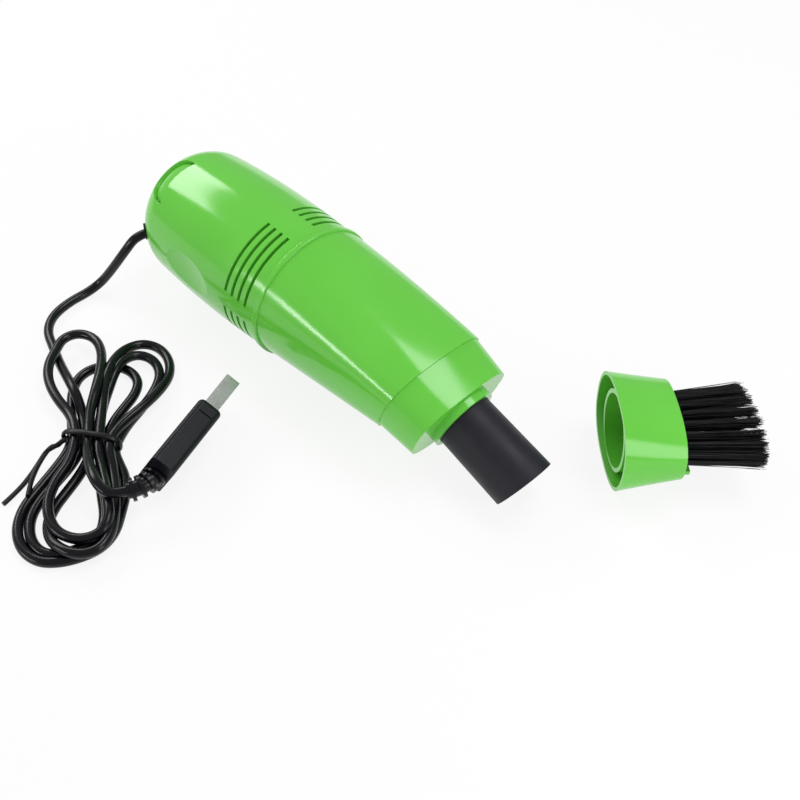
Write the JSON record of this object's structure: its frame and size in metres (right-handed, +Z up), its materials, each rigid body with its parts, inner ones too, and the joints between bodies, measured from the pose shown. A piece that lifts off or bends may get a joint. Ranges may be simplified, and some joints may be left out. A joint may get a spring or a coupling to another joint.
{
  "type": "keyboard vacuum cleaner",
  "caption": "Small hand vacuum for keyboards with a motor housing, pull-off dust chamber, rubber nozzle, separate brush head and a USB lead tied in a hank.",
  "frame": {"origin": "centre of the footprint of the vacuum and its brush head, on the table under them", "axes": "+X from the tail to the nose along the body axis, +Z up, +Y to the side where the brush head lies"},
  "size_m": [0.2034, 0.1801, 0.045],
  "materials": {
    "green_plastic": "glossy bright green moulded plastic",
    "nozzle_rubber": "matte black rubber",
    "bristle_nylon": "black nylon strands",
    "cord_black": "black satin cable jacket",
    "tie_black": "black plastic covered wire",
    "plug_plastic": "black moulded plastic",
    "plug_steel": "plain plated steel",
    "contact_gold": "gold-plated contacts",
    "board_white": "white insulator",
    "motor_steel": "plated steel can",
    "shaft_steel": "ground steel",
    "screw_steel": "zinc-plated steel",
    "dark_plastic": "black moulded plastic",
    "fan_plastic": "off-white moulded plastic",
    "terminal_brass": "tinned brass",
    "filter_felt": "white non-woven felt",
    "wire_red": "insulated hook-up wire"
  },
  "bodies": {
    "vacuum": {"rear_shell_upper": "green_plastic", "rear_shell_lower": "green_plastic", "switch_body": "dark_plastic", "housing_screws": "screw_steel", "motor_bracket": "dark_plastic", "motor_can": "motor_steel", "motor_end_cap": "dark_plastic", "motor_terminals": "terminal_brass", "motor_screws": "screw_steel", "power_wires": "wire_red", "cable_gland": "cord_black", "cable_lead": "cord_black", "cable_hank": "cord_black", "cable_tail": "cord_black", "twist_tie": "tie_black", "plug_strain_relief": "cord_black", "plug_body": "plug_plastic", "plug_shell": "plug_steel", "plug_tongue": "board_white", "plug_contacts": "contact_gold"},
    "button": {"power_button": "green_plastic", "switch_plunger": "dark_plastic"},
    "fan": {"impeller": "fan_plastic", "motor_shaft": "shaft_steel"},
    "dust_chamber": {"front_shell": "green_plastic", "filter_pad": "filter_felt", "filter_frame": "dark_plastic", "nose_collar": "green_plastic"},
    "nozzle": {"rubber_nozzle": "nozzle_rubber"},
    "brush": {"brush_cup": "green_plastic", "brush_bristles": "bristle_nylon"}
  },
  "joints": [
    {"name": "button_push", "type": "slide", "parent": "vacuum", "child": "button", "axis": [0.5878, 0.3673, -0.7208], "range_m": [0, 0.0013], "stiffness_N_per_m": 400},
    {"name": "fan_spin", "type": "hinge", "parent": "vacuum", "child": "fan", "pos_m": [-0.05025, -0.02147, 0.0225], "axis": [1, 0, 0], "continuous": true},
    {"name": "chamber_pull", "type": "slide", "parent": "vacuum", "child": "dust_chamber", "axis": [0.9942, 0, -0.108], "range_m": [0, 0.02]},
    {"name": "nozzle_pull", "type": "slide", "parent": "dust_chamber", "child": "nozzle", "axis": [0.9455, 0, -0.3256], "range_m": [0, 0.012]},
    {"name": "brush_move", "type": "slide", "parent": "vacuum", "child": "brush", "axis": [0.6561, 0.7547, 0], "range_m": [0, 0.04]}
  ]
}
